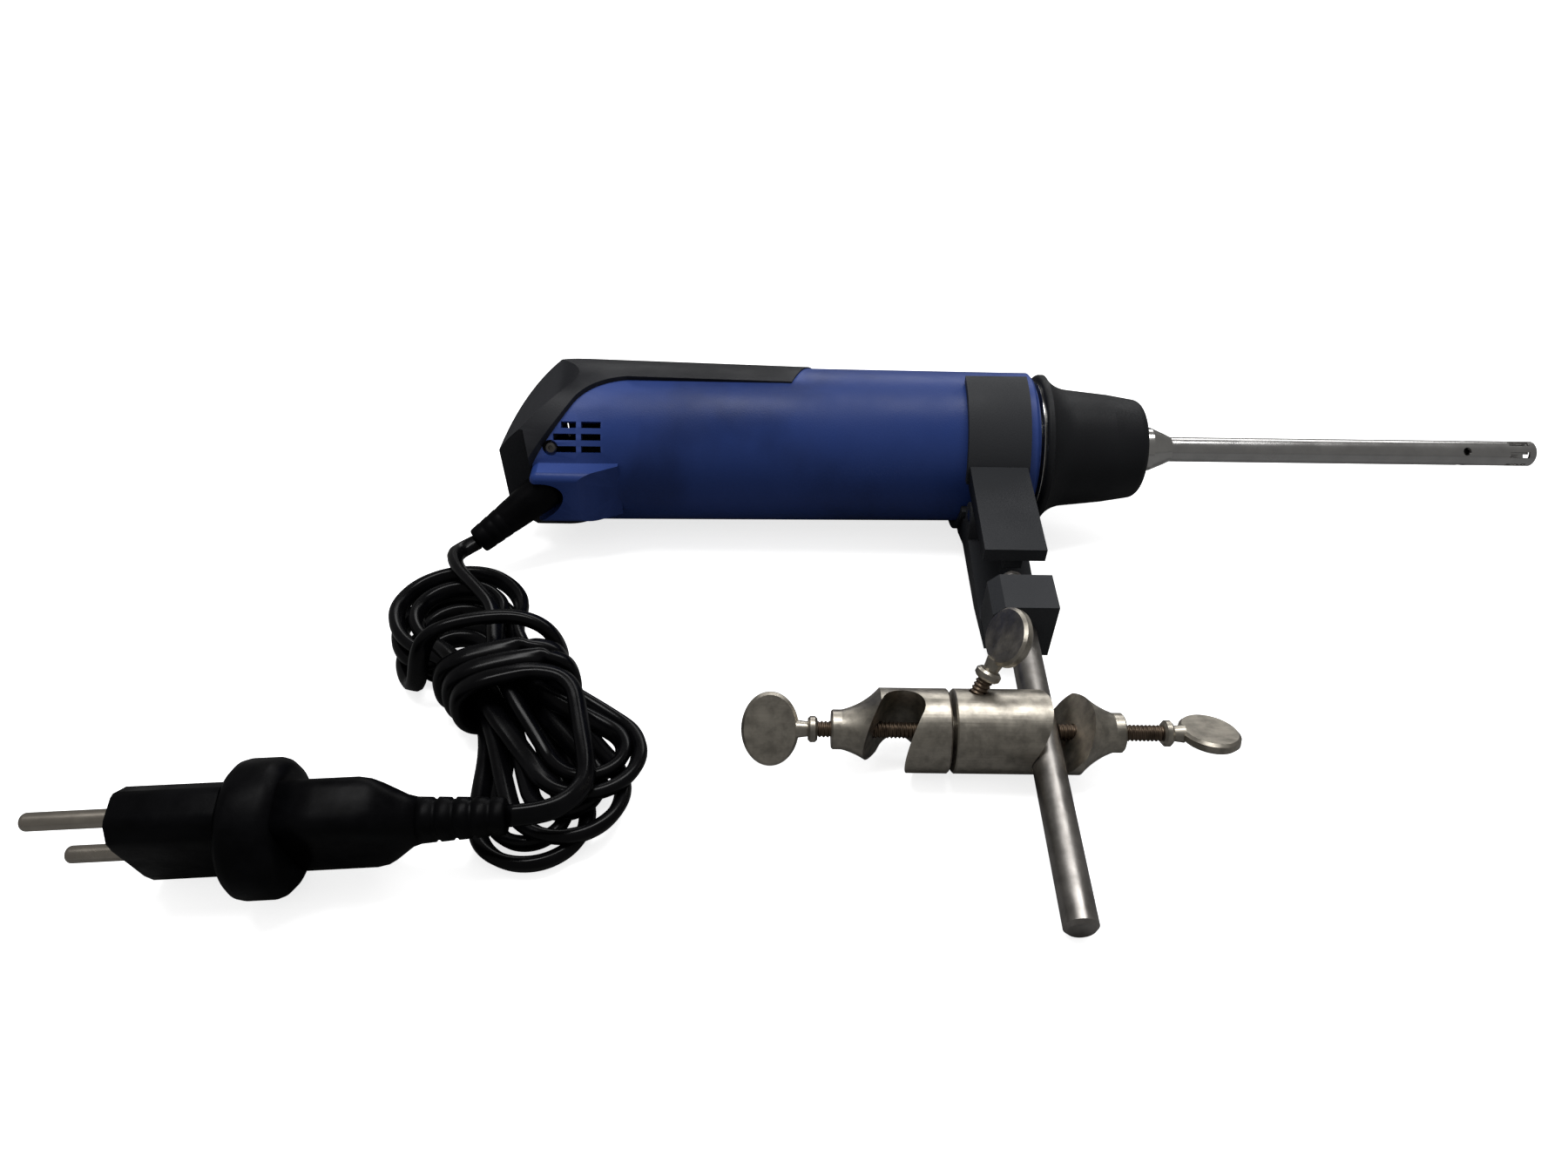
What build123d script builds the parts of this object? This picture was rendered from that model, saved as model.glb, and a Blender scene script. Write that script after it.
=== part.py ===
from build123d import *
import math
import os

# Rotor stator homogenizer lying on its side, millimetres, +Z up.
# The pieces are built about the tool axis: X runs along it towards the tip, with x = 0 at the
# clamping nut's front face, and -Y points to the back, where the holder and its rod stand out.
# The whole is then laid down: rolled about X until the rod's end meets the table.

# ---- driving dimensions ----
housing_front_x = -40.7
housing_front_r = 24.0
housing_rear_r = 25.1
tail_break_x = -183.0
tail_end_x = -207.0
tail_end_half_width = 11.0
tail_mid_half_width = 20.5
tail_side_x = -153.0
tail_arc_r = 56.4
tail_arc_x = -151.7
tail_arc_y = -30.25
tail_facet_y = -19.0
wall = 2.3
cover_front_x = -117.0
cover_slant = 9.0
cover_front_r = 24.9
cover_rear_r = 26.8
parting_y = -1.0
cavity_front_x = housing_front_x - 3.0
running = 0.05

tool_d = 8.0
tool_wall = 0.9
shank_r = 3.7
tool_tip_x = 125.4
tool_rear_x = -44.0
tool_slots = 6
tool_slot_w = 1.9
tool_slot_x = 116.6
tool_slot_end_x = 123.0
vent_hole_d = 2.6
vent_hole_x = 102.6
collar_r = 7.0
collar_back_x = -9.0
collar_front_x = 7.0
rotor_shaft_d = 3.2
rotor_gap = 0.25

shaft_d = 5.0
bearing_d = 16.0
bearing_w = 5.0
front_bearing_x = -58.0
rear_bearing_x = -168.0
neck_r = 12.0
neck_front_x = -14.0
core_x = -130.0
core_length = 32.0
core_r = 21.8
armature_r = 11.6
air_gap = 0.5

nut_back_x = -38.2
nut_flange_r = 23.5
nut_waist_x = -28.0
nut_waist_r = 18.8
nut_nose_r = 16.4
nut_bore = 7.3
collet_travel = 3.0

holder_x = -53.5
holder_w = 19.0
arm_w = 17.6
holder_r = 26.8
holder_bore = 24.5
arm_top_z = 11.0
arm_end_y = -61.0
arm_t = 5.0
lower_arm_z = -14.0
hinge_y = -33.5
hinge_z = -1.0
hinge_pin_d = 4.0
block_y = -69.8
block_end_y = -82.5
block_half_h = 9.5
rod_d = 8.0
rod_end_y = -170.0
rod_thread_d = 6.0
rod_thread_tip_y = -59.5

boss_y = -116.6
boss_d = 21.2
seam_x = -76.2
seam_gap = 1.1
right_nose_x = -33.4
left_nose_x = -106.4
nose_d = 10.0
slot_w = 10.6
slot_lean = 28.0
slot_touch = 0.1
left_slot_x = -89.0
pivot_d = 8.0
screw_d = 4.2
screw_collar_d = 6.6
screw_collar_t = 2.4
thumb_length = 14.5
thumb_width = 18.5
thumb_t = 2.8
lock_x = -70.0
lock_lean = 25.0
lock_turn = 60.0

wheel_x = -182.0
wheel_y = 9.3
wheel_r = 9.0
wheel_t = 5.0
switch_x = -150.0
cord_d = 5.2
pin_d = 4.0
pin_length = 19.0
pin_pitch = 18.6

# ---- laying down ----
ground_r = cover_rear_r
lay_angle = math.degrees(math.asin((ground_r - rod_d / 2) / -rod_end_y))
mid_x = (tool_tip_x + tail_end_x) / 2
mid_y = (rod_end_y * math.cos(math.radians(lay_angle)) + ground_r) / 2
lay_down = Pos(-mid_x, -mid_y, ground_r) * Rot(X=lay_angle)
table = Pos(-mid_x, -mid_y, 0)


# ---- helpers ----
def outline(start, *steps):
    """Closed face in the XY plane. A step is an end point, or a pair (middle, end) for an arc."""
    edges, here = [], start
    for step in steps:
        if isinstance(step[0], tuple):
            edges.append(ThreePointArc(here, step[0], step[1]))
            here = step[1]
        else:
            edges.append(Line(here, step))
            here = step
    edges.append(Line(here, start))
    return make_face(Curve() + edges)


def turned(start, *steps):
    """Solid of revolution about X; the outline's y is the radius."""
    return revolve(outline(start, *steps), Axis.X)


def ring(x0, x1, outer, inner=0.0):
    return turned((x0, inner), (x1, inner), (x1, outer), (x0, outer))


def rod_between(start, end, radius):
    """Round bar from one point to another."""
    path = Vector(*end) - Vector(*start)
    bar = Cylinder(radius, path.length, align=(Align.CENTER, Align.CENTER, Align.MIN))
    return Plane(origin=start, z_dir=path) * bar


def slab(x0, x1, y0, y1, z0, z1):
    return Pos((x0 + x1) / 2, (y0 + y1) / 2, (z0 + z1) / 2) * Box(x1 - x0, y1 - y0, z1 - z0)


def across(width, start, *steps):
    """Plate of the given width, centred on the holder, from an outline of (y, z) points."""
    profile = Plane(origin=(holder_x, 0, 0), x_dir=(0, 1, 0), z_dir=(1, 0, 0)) * outline(start, *steps)
    return extrude(profile, width / 2, both=True)


def polar(radius, angle):
    """(y, z) of a point at an angle measured from the back (-Y) towards +Z."""
    return (-radius * math.cos(math.radians(angle)), radius * math.sin(math.radians(angle)))


# ---- motor housing ----
def tail_envelope(grow):
    """Space inside the tail's side and top outlines, which are grown outwards by grow."""
    arc_r = tail_arc_r + grow
    far = 60.0
    facet_y = tail_facet_y - grow
    top_y = tail_arc_y + math.sqrt(arc_r**2 - (tail_side_x - tail_arc_x) ** 2)
    low_x = tail_arc_x - math.sqrt(arc_r**2 - (facet_y - tail_arc_y) ** 2)
    mid_angle = math.radians(130)
    mid = (tail_arc_x + arc_r * math.cos(mid_angle), tail_arc_y + arc_r * math.sin(mid_angle))
    heel_x = boss_back_x - 1.5 - grow
    side = outline(
        (0, far), (tail_side_x, far), (tail_side_x, top_y), (mid, (low_x, facet_y)),
        (heel_x, facet_y), (boss_back_x - grow, cover_heel_y), (boss_back_x - grow, -far), (0, -far),
    )
    half = cover_rear_r + grow
    end_x = tail_end_x - grow
    arc_x = (tail_break_x + end_x) / 2 - 2.5
    middle = tail_mid_half_width + grow
    end_half = tail_end_half_width + grow
    top = outline(
        (0, far), (tail_break_x, far), (tail_break_x, half), ((arc_x, middle), (end_x, end_half)),
        (end_x, -end_half), ((arc_x, -middle), (tail_break_x, -half)), (tail_break_x, -far), (0, -far),
    )
    return extrude(side, far, both=True) & extrude(Rot(X=90) * top, far, both=True)


boss_back_x = -197.0
boss_front_x = -170.0
boss_half_w = 9.5
boss_out_y = -30.0
cover_heel_y = -24.0


def cover_region():
    """Everything that belongs to the rear cover: the front half and the whole tail end."""
    far = 60.0
    slant_y = cover_front_r
    region = outline(
        (cover_front_x + cover_slant * far / slant_y, far), (cover_front_x, parting_y),
        (-168.0, parting_y), ((-177.2, -4.4), (-184.5, -11.6)), ((-189.8, -18.0), (boss_back_x, cover_heel_y)),
        (boss_back_x - 1.0, -far), (-240.0, -far), (-240.0, far),
    )
    return extrude(region, far, both=True)


def cavity():
    """Room inside both shells, with a seat for the motor's core."""
    front_r = housing_front_r - wall
    rear_r = housing_rear_r - wall
    seat_end_x = core_x + core_length
    inside = turned(
        (cavity_front_x, 0), (cavity_front_x, front_r), (seat_end_x, front_r + 0.4),
        (seat_end_x, core_r), (core_x, core_r), (core_x, rear_r), (tail_end_x, rear_r), (tail_end_x, 0),
    )
    return inside & tail_envelope(-wall)


def cable_boss():
    """Block on the back that holds the cord's strain relief, faired into the housing."""
    profile = outline(
        (boss_back_x + 0.4, -12.0), (boss_back_x + 0.4, boss_out_y + 2.0),
        ((boss_back_x + 1.0, boss_out_y + 0.6), (boss_back_x + 2.4, boss_out_y)),
        (boss_front_x - 12.0, boss_out_y), (boss_front_x, -housing_rear_r + 0.6), (boss_front_x, -12.0),
    )
    block = extrude(profile, boss_half_w, both=True)
    return fillet(block.edges().filter_by(Axis.X).group_by(Axis.Y)[0], 2.5)


def grille_cutters():
    """Three rows of two air slots on each side of the back, ends parallel to the cover's edge."""
    cutters = []
    for side in (1, -1):
        for row, left_end in enumerate(grille_left_ends):
            angle = grille_angle + (row - 1) * grille_pitch
            y, z = polar(housing_rear_r, side * angle)
            for x0, x1 in ((grille_x, grille_x + 6.0), (left_end, grille_x - 1.5)):
                slot = Box(x1 - x0, 8.0, grille_h)
                cutters.append(Pos((x0 + x1) / 2, y, z) * Rot(X=-side * angle) * slot)
    return cutters


grille_x = -181.1
grille_left_ends = (-190.6, -189.6, -187.2)
grille_angle = 40.6
grille_pitch = 8.6
grille_h = 2.0
cover_screw_x = -190.5
cover_screw_angle = 33.0


def cover_screw_places():
    """Where the two cover screws sit, and the plane each one is driven along."""
    places = []
    for side in (1, -1):
        y, z = polar(housing_rear_r - 1.6, side * cover_screw_angle)
        places.append(Plane(origin=(cover_screw_x, y, z), z_dir=(0, y, z)))
    return places


def screw_seats():
    seats = []
    for place in cover_screw_places():
        seats.append(place * Pos(0, 0, 3.0) * Cylinder(2.4, 6.0))
        seats.append(place * Cylinder(1.2, 12.0))
    return seats


def housing_shell():
    outer = turned(
        (housing_front_x + 1.0, 0), (housing_front_x + 1.0, 21.0), (housing_front_x, 21.0),
        (housing_front_x, housing_front_r - 0.8), (housing_front_x - 0.8, housing_front_r),
        (tail_break_x, housing_rear_r), (tail_end_x, housing_rear_r), (tail_end_x, 0),
    )
    shell = (outer & tail_envelope(-0.9)) + cable_boss()
    shell = shell - cover_region() - cavity()
    shell -= ring(cavity_front_x - 1, housing_front_x + 2, neck_r)
    shell -= grille_cutters()
    shell -= rod_between(relief_seat, relief_mouth, relief_r)
    return shell - screw_seats()


def rear_cover():
    outer = turned(
        (-90.0, 0), (-90.0, cover_front_r - 0.4), (tail_break_x, cover_rear_r),
        (tail_end_x - 2, cover_rear_r), (tail_end_x - 2, 0),
    )
    cover = (outer & tail_envelope(0) & cover_region()) - cavity()
    cover -= Pos(wheel_x, wheel_y, 0) * Cylinder(wheel_r + 0.6, wheel_t + 1.2)
    cover -= slab(switch_x - 6.2, switch_x + 6.2, 18.0, 30.0, -3.2, 3.2)
    cover -= rod_between(relief_seat, relief_mouth, relief_r + 0.3)
    return cover - screw_seats()


def housing_screws():
    screw = Pos(0, 0, 0.9) * Cylinder(2.2, 1.8) + Pos(0, 0, -2.6) * Cylinder(1.15, 5.2)
    screw -= Pos(0, 0, 1.8) * Box(3.2, 0.6, 1.2)
    screw -= Pos(0, 0, 1.8) * Box(0.6, 3.2, 1.2)
    return Part() + [place * screw for place in cover_screw_places()]


def bearing_flange():
    """Cast front flange: seat of the front bearing, and the neck that carries collet and nut."""
    disc_back_x = cavity_front_x - 5.0
    pocket_x = front_bearing_x + bearing_w
    body = turned(
        (front_bearing_x, bearing_d / 2), (front_bearing_x, bearing_d / 2 + 3.5),
        (disc_back_x, bearing_d / 2 + 3.5), (disc_back_x, housing_front_r - wall - 0.2),
        (cavity_front_x, housing_front_r - wall - 0.2), (cavity_front_x, neck_r),
        (neck_front_x, neck_r), (neck_front_x, collet_r + running),
        (collet_seat_x, collet_r + running), (collet_seat_x - 2.0, shank_r + 0.1),
        (tool_rear_x, shank_r + 0.1), (tool_rear_x, 6.0), (pocket_x, 6.0), (pocket_x, bearing_d / 2),
    )
    return body


collet_r = 7.2
collet_front_x = -17.0
collet_seat_x = -28.0


def bearing(x):
    half = shaft_d / 2 + 1.2
    body = ring(x, x + bearing_w, bearing_d / 2, shaft_d / 2 + running)
    for face in (x, x + bearing_w - 0.5):
        body -= ring(face, face + 0.5, bearing_d / 2 - 1.4, half)
    return body


def front_bearing():
    return bearing(front_bearing_x)


def rear_bearing():
    return bearing(rear_bearing_x)


def motor_stator():
    """Two-pole laminated core: a ring whose side pockets hold the coils."""
    core = ring(core_x, core_x + core_length, core_r - 0.02, armature_r + air_gap)
    for side in (1, -1):
        middle = side * (coil_inner + coil_outer) / 2
        half = (coil_outer - coil_inner) / 2 + coil_room
        core -= slab(core_x - 1, core_x + core_length + 1, middle - half, middle + half, -7.6, 7.6)
    return core


coil_inner = 12.9
coil_outer = 17.5
coil_room = 0.3
coil_low = 0.6
coil_high = 7.2
coil_end = 6.0


def field_coils():
    """Two coils, one round each pole, arched over the armature at both ends."""
    coils = []
    x0, x1 = core_x, core_x + core_length
    for side in (1, -1):
        low, high = sorted((side * coil_low, side * coil_high))
        near, far = sorted((side * coil_low, side * 20.0))
        coil = slab(x0 - 0.5, x1 + 0.5, coil_inner, coil_outer, low, high)
        coil += slab(x0 - 0.5, x1 + 0.5, -coil_outer, -coil_inner, low, high)
        arch = ring(x0 - coil_end, x0 - 0.2, coil_outer, coil_inner)
        arch += ring(x1 + 0.2, x1 + coil_end, coil_outer, coil_inner)
        coils.append(coil + (arch & slab(x0 - 20, x1 + 20, -20, 20, near, far)))
    return Part() + coils


bridge_x = rear_bearing_x - 1.0
bridge_t = 5.0
brush_x = -147.0
brush_w = 6.0
brush_t = 5.0
commutator_r = 8.0
holder_wall = 0.8
brush_outer = 19.5


def brush_bridge():
    """Moulded bridge across the housing: rear bearing seat, and two arms for the brushes."""
    seat_r = bearing_d / 2
    bridge = ring(bridge_x, bridge_x + bridge_t, housing_rear_r - wall - 0.1, seat_r)
    bridge += ring(bridge_x - 1.5, bridge_x, seat_r + 2.5, shaft_d / 2 + 1.0)
    bridge += ring(bridge_x, bridge_x + bridge_t + 1.0, seat_r + 2.5, seat_r)
    for angle in (0, 90, 180, 270):
        bridge -= Rot(X=45 + angle) * slab(bridge_x - 1, bridge_x + bridge_t + 1, 12.0, 19.0, -5.0, 5.0)
    for side in (1, -1):
        low, high = sorted((side * (brush_outer - 6.0), side * (brush_outer + 1.0)))
        arm = slab(bridge_x + bridge_t, brush_x + brush_w / 2 + 3, -5.5, 5.5, low, high)
        pocket = brush_w / 2 + holder_wall
        arm -= slab(brush_x - pocket, brush_x + pocket, -brush_t / 2 - holder_wall, brush_t / 2 + holder_wall,
                    low - 1, high + 1)
        bridge += arm
    return bridge


def brush_holders():
    holders = []
    for side in (1, -1):
        low, high = sorted((side * (commutator_r + 1.5), side * (brush_outer + 1.4)))
        out_x, out_y = brush_w / 2 + holder_wall, brush_t / 2 + holder_wall
        tube = slab(brush_x - out_x, brush_x + out_x, -out_y, out_y, low, high)
        tube -= slab(brush_x - brush_w / 2, brush_x + brush_w / 2, -brush_t / 2, brush_t / 2,
                     low - 1, high + 1)
        holders.append(tube)
    return Part() + holders


def carbon_brushes():
    brushes = []
    for side in (1, -1):
        low, high = sorted((side * (commutator_r - 1.0), side * (brush_outer - 3.0)))
        brush = slab(brush_x - brush_w / 2, brush_x + brush_w / 2, -brush_t / 2, brush_t / 2, low, high)
        brushes.append(brush - ring(brush_x - 9, brush_x + 9, commutator_r + running))
    return Part() + brushes


board_z = -9.6
board_t = 1.6
board_gap = 0.6
board_low_y = -14.0
board_front_x = bridge_x - 1.8


def control_board():
    """Speed control board, standing beside the thumbwheel in the tail."""
    room = ring(tail_end_x, board_front_x, housing_rear_r - wall - board_gap) & tail_envelope(-wall - board_gap)
    plate = slab(tail_end_x, board_front_x, board_low_y, housing_rear_r, board_z - board_t, board_z)
    return plate & room


def speed_potentiometer():
    body = slab(wheel_x - 4, wheel_x + 4, wheel_y - 7.5, wheel_y + 0.5, board_z, board_z + 5.5)
    return body + Pos(wheel_x, wheel_y, (board_z + pot_tip_z) / 2) * Cylinder(1.5, pot_tip_z - board_z)


pot_tip_z = 1.5


def capacitor():
    x0, y0 = -187.0, -12.0
    return fillet(slab(x0, x0 + 13, y0, y0 + 11, board_z, board_z + 12).edges().filter_by(Axis.Z), 1.2)


def speed_wheel():
    """Knurled thumbwheel whose rim stands out of the tail's slope."""
    wheel = Cylinder(wheel_r, wheel_t)
    wheel = chamfer(wheel.edges().filter_by(GeomType.CIRCLE), 0.5)
    for turn in PolarLocations(wheel_r + 0.55, 20):
        wheel -= turn * Cylinder(0.9, wheel_t + 1)
    wheel -= Pos(0, 0, -wheel_t / 2) * Cylinder(1.5 + running, 2 * (wheel_t / 2 + pot_tip_z) + 0.1)
    return Pos(wheel_x, wheel_y, 0) * wheel


def switch_body():
    return slab(switch_x - 9, switch_x + 9, 13.6, 19.6, -4.8, 4.8)


def power_switch():
    """Sliding button in the cover's front slope."""
    button = slab(switch_x - 5.8, switch_x + 0.8, 19.9, 27.4, -2.8, 2.8)
    button = fillet(button.edges().filter_by(Axis.Z).group_by(Axis.Y)[-1], 0.8)
    return button + slab(switch_x - 8.2, switch_x + 3.2, 19.9, 21.0, -4.5, 4.5)


# ---- motor ----
def motor_shaft():
    return ring(rear_bearing_x - 3.0, shaft_front_x, shaft_d / 2)


drive_back_x = -52.6
drive_front_x = -44.6
shaft_front_x = -48.6
tang_depth = 2.8
tang_w = 1.6
tang_half = 2.0


def armature_core():
    core = ring(core_x, core_x + core_length, armature_r, shaft_d / 2)
    for turn in range(12):
        slot = slab(core_x - 1, core_x + core_length + 1, armature_r - 3.6, armature_r - 0.7, -1.2, 1.2)
        mouth = slab(core_x - 1, core_x + core_length + 1, armature_r - 1, armature_r + 1, -0.5, 0.5)
        core -= Rot(X=30 * turn) * (slot + mouth)
    return core


def armature_windings():
    """End turns on both sides of the core."""
    ends = []
    for x0, x1 in ((core_x - 7.0, core_x), (core_x + core_length, core_x + core_length + 7.0)):
        inner, outer = shaft_d / 2 + 1.0, armature_r - 0.9
        ends.append(turned((x0, inner), (x1, inner), (x1, outer - 1.5),
                           (((x0 + x1) / 2, outer), (x0, outer - 1.5))))
    return Part() + ends


def commutator():
    x0, x1 = core_x - 23.0, core_x - 8.5
    body = ring(x0, x1 - 2.0, commutator_r, shaft_d / 2) + ring(x1 - 2.0, x1, commutator_r + 1.2, shaft_d / 2)
    for turn in range(12):
        body -= Rot(X=30 * turn) * slab(x0 - 1, x1 - 2.0, commutator_r - 0.6, commutator_r + 1, -0.25, 0.25)
    return body


def cooling_fan():
    fan = ring(fan_x, fan_x + 9.0, 5.5, shaft_d / 2) + ring(fan_x, fan_x + 1.4, fan_r, shaft_d / 2)
    blade = slab(fan_x, fan_x + 8.5, 5.0, fan_r - 0.2, -0.6, 0.6)
    for turn in range(9):
        fan += Rot(X=40 * turn) * blade
    return fan


fan_x = -80.0
fan_r = 19.5


def drive_coupling():
    """Socket on the motor shaft; a slot across its mouth takes the rotor shaft's tang."""
    body = ring(drive_back_x, drive_front_x, 3.7)
    body -= ring(drive_back_x - 1, shaft_front_x, shaft_d / 2)
    room = tang_w / 2 + 0.1
    body -= slab(drive_front_x - tang_depth, drive_front_x + 1, -5, 5, -room, room)
    return body


# ---- dispersing tool ----
def shaft_tube():
    """Outer tube on its slimmer shank, with its slotted head and vent holes."""
    outer = tool_d / 2
    inner = outer - tool_wall
    tube = turned(
        (tool_rear_x, inner), (tool_rear_x, shank_r - 0.3), (tool_rear_x + 0.3, shank_r),
        (collar_front_x, shank_r), (collar_front_x, outer),
        (tool_tip_x - 0.4, outer), (tool_tip_x, outer - 0.4), (tool_tip_x, inner),
    )
    for turn in range(tool_slots):
        slot = slab(tool_slot_x, tool_slot_end_x, 1.0, outer + 1, -tool_slot_w / 2, tool_slot_w / 2)
        tube -= Rot(X=30 + turn * 360 / tool_slots) * slot
    for turn in range(4):
        hole = Pos(vent_hole_x, 0, outer) * Cylinder(vent_hole_d / 2, 2 * outer - 2)
        tube -= Rot(X=45 + 90 * turn) * hole
    return tube


def tool_collar():
    """Steel collar pressed on the tube; its cone shows in front of the nut."""
    tip_r = tool_d / 2
    return turned(
        (collar_back_x, shank_r), (collar_back_x, collar_r), (0.3, collar_r), (1.0, collar_r - 0.3),
        (4.8, tip_r + 1.1), ((5.9, tip_r + 0.55), (collar_front_x, tip_r + 0.05)), (collar_front_x, shank_r),
    )


def tool_bushings():
    inner = rotor_shaft_d / 2 + running
    outer = tool_d / 2 - tool_wall
    return Part() + [ring(x, x + 8.0, outer, inner) for x in (tool_rear_x + 2, 30.0, 92.0)]


def rotor_shaft():
    return ring(tool_rear_x + 0.5, 113.0, rotor_shaft_d / 2)


def rotor_tang():
    """Flat driving end of the rotor shaft."""
    tang = slab(drive_front_x - tang_depth + 0.3, tool_rear_x + 0.5, -tang_half, tang_half, -tang_w / 2, tang_w / 2)
    return tang


def rotor_head():
    """Slotted rotor: two curved blades round a hollow middle."""
    outer = tool_d / 2 - tool_wall - rotor_gap
    head = ring(113.0, 114.6, outer, 0) + ring(113.0, tool_slot_end_x, outer, outer - 1.0)
    head -= slab(114.6, tool_slot_end_x + 1, -outer - 1, outer + 1, -1.5, 1.5)
    return head


# ---- collet and clamping nut ----
def collet():
    """Split sleeve that the nut presses on the tool's shank."""
    inner = shank_r + running
    sleeve = turned(
        (collet_seat_x + 0.4, inner), (collet_seat_x + 0.4, shank_r + 1.5),
        (collet_seat_x + 4.0, collet_r), (collet_front_x, collet_r), (collet_front_x, inner),
    )
    for turn in range(3):
        sleeve -= Rot(X=120 * turn) * slab(collet_seat_x - 1, collet_front_x - 3, 0, 9, -0.5, 0.5)
    return sleeve


insert_r = 15.5
insert_front_x = neck_front_x - 2.0


def nut_insert():
    """Threaded steel ring moulded into the nut; its edge shows at the back."""
    return turned(
        (nut_back_x - 0.5, neck_r + running), (nut_back_x - 0.5, 21.3), (nut_back_x, 21.3),
        (nut_back_x, insert_r), (insert_front_x, insert_r), (insert_front_x, neck_r + running),
    )


def clamp_nut():
    thrust_x = collet_front_x + 0.1
    web_x = neck_front_x + 0.3
    web_front_x = collar_back_x - collet_travel - 0.2
    return turned(
        (nut_back_x, insert_r), (nut_back_x, nut_flange_r - 1.2),
        ((nut_back_x + 0.4, nut_flange_r - 0.3), (nut_back_x + 1.4, nut_flange_r)),
        (nut_back_x + 2.2, nut_flange_r),
        ((-32.6, 20.3), (nut_waist_x, nut_waist_r)), (-15.0, 17.4), (-9.0, nut_nose_r),
        (-6.6, nut_nose_r - 0.4), ((-4.6, 14.9), (-3.8, 13.0)), (-3.0, nut_bore + 1.0), (-3.4, nut_bore),
        (web_front_x, nut_bore), (web_front_x, tool_d / 2 + 0.5), (thrust_x, tool_d / 2 + 0.5),
        (thrust_x, collet_r - 0.3), (web_x, collet_r - 0.3), (web_x, neck_r + 1.0),
        (insert_front_x, neck_r + 1.0), (insert_front_x, insert_r),
    )


# ---- holder ----
def shell_band(from_angle, to_angle):
    """Half shell of the holder between two angles measured from the back."""
    inner0, inner1 = polar(holder_bore, from_angle), polar(holder_bore, to_angle)
    outer0, outer1 = polar(holder_r, from_angle), polar(holder_r, to_angle)
    middle = (from_angle + to_angle) / 2
    return across(holder_w, inner0, (polar(holder_bore, middle), inner1), outer1,
                  (polar(holder_r, middle), outer0))


def knuckle(width):
    barrel = Cylinder(hinge_pin_d / 2 + 2.4, width, rotation=(0, 90, 0))
    return Pos(holder_x, hinge_y, hinge_z) * barrel


def pin_hole(clearance):
    hole = Cylinder(hinge_pin_d / 2 + clearance, 40, rotation=(0, 90, 0))
    return Pos(holder_x, hinge_y, hinge_z) * hole


band_start = 12.0
band_end = 92.0
knuckle_w = 6.4
knuckle_gap = 0.3


def holder_base():
    """Lower half of the clamp, with its arm and the block that the rod screws into."""
    base = shell_band(-band_end, -band_start)
    base += across(arm_w, (-17.5, -18.5), (-24.5, -9.0), (-30.0, -6.5), (hinge_y - 5, -6.5),
                   (arm_end_y, -8.0), (block_y - 0.5, -8.0), (block_end_y + 2.0, -9.0), (block_end_y + 2.0, -9.2),
                   (arm_end_y, -13.0), (-32.0, lower_arm_z), (-22.0, -18.0))
    block = across(arm_w, (block_y, -block_half_h), (block_y, block_half_h), (block_end_y, block_half_h),
                   (block_end_y, -block_half_h))
    base += chamfer(block.edges().filter_by(Axis.Y).group_by(Axis.X)[0], 3.0)
    ears = knuckle(arm_w) - knuckle(knuckle_w + 2 * knuckle_gap)
    foot = across(arm_w, (hinge_y - 4.4, hinge_z), (hinge_y - 4.4, -7.5), (hinge_y + 4.4, -7.5),
                  (hinge_y + 4.4, hinge_z))
    foot -= slab(holder_x - knuckle_w / 2 - knuckle_gap, holder_x + knuckle_w / 2 + knuckle_gap,
                 hinge_y - 6, hinge_y + 6, -6.4, 10)
    base += foot + ears
    base -= pin_hole(0)
    base -= rod_between((holder_x, block_y + 2, 0), (holder_x, block_end_y - 1, 0), rod_thread_d / 2 + running)
    return base


def holder_lever():
    """Upper half of the clamp; its arm is wedged up by the rod's threaded end."""
    under_z = arm_top_z - arm_t
    lever = shell_band(band_start, band_end)
    lever += across(arm_w, (-19.0, arm_top_z + 6.5), (-24.0, arm_top_z), (arm_end_y, arm_top_z - 0.4),
                    (arm_end_y, under_z + 0.4), (arm_end_y + 2.5, under_z), (-28.0, under_z - 1.0),
                    (-24.6, 5.6), (-23.4, 9.0))
    tip_y = rod_thread_tip_y
    lever += across(5.0, (tip_y + 4.0, under_z + 1), (tip_y + 4.0, 2.6), (tip_y + 0.4, 1.7),
                    (tip_y - 1.2, 3.2), (tip_y - 1.2, under_z + 1))
    lever += across(knuckle_w, (hinge_y - 4.4, hinge_z), (hinge_y - 4.4, under_z), (hinge_y + 4.4, under_z),
                    (hinge_y + 4.4, hinge_z))
    lever += knuckle(knuckle_w)
    return lever - pin_hole(running)


def holder_pin():
    pin = Cylinder(hinge_pin_d / 2, arm_w, rotation=(0, 90, 0))
    return Pos(holder_x, hinge_y, hinge_z) * pin


def rod_stud():
    """Threaded end of the rod, with the cone that wedges the lever."""
    thread_r = rod_thread_d / 2
    cone = thread_r - 1.2
    stud = rod_between((holder_x, block_end_y, 0), (holder_x, rod_thread_tip_y - cone, 0), thread_r)
    tip = Plane(origin=(holder_x, rod_thread_tip_y - cone, 0), z_dir=(0, 1, 0))
    tip *= Cone(thread_r, 1.2, cone, align=(Align.CENTER, Align.CENTER, Align.MIN))
    return stud + tip


def extension_rod():
    rod = rod_between((holder_x, block_end_y - 0.15, 0), (holder_x, rod_end_y, 0), rod_d / 2)
    return chamfer(rod.edges().filter_by(GeomType.CIRCLE), 0.8)


# ---- boss head ----
slot_rise = slot_w / 2 - rod_d / 2 - slot_touch
right_slot_x = holder_x + slot_rise
boss_place = Pos(0, boss_y, 0)


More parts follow.
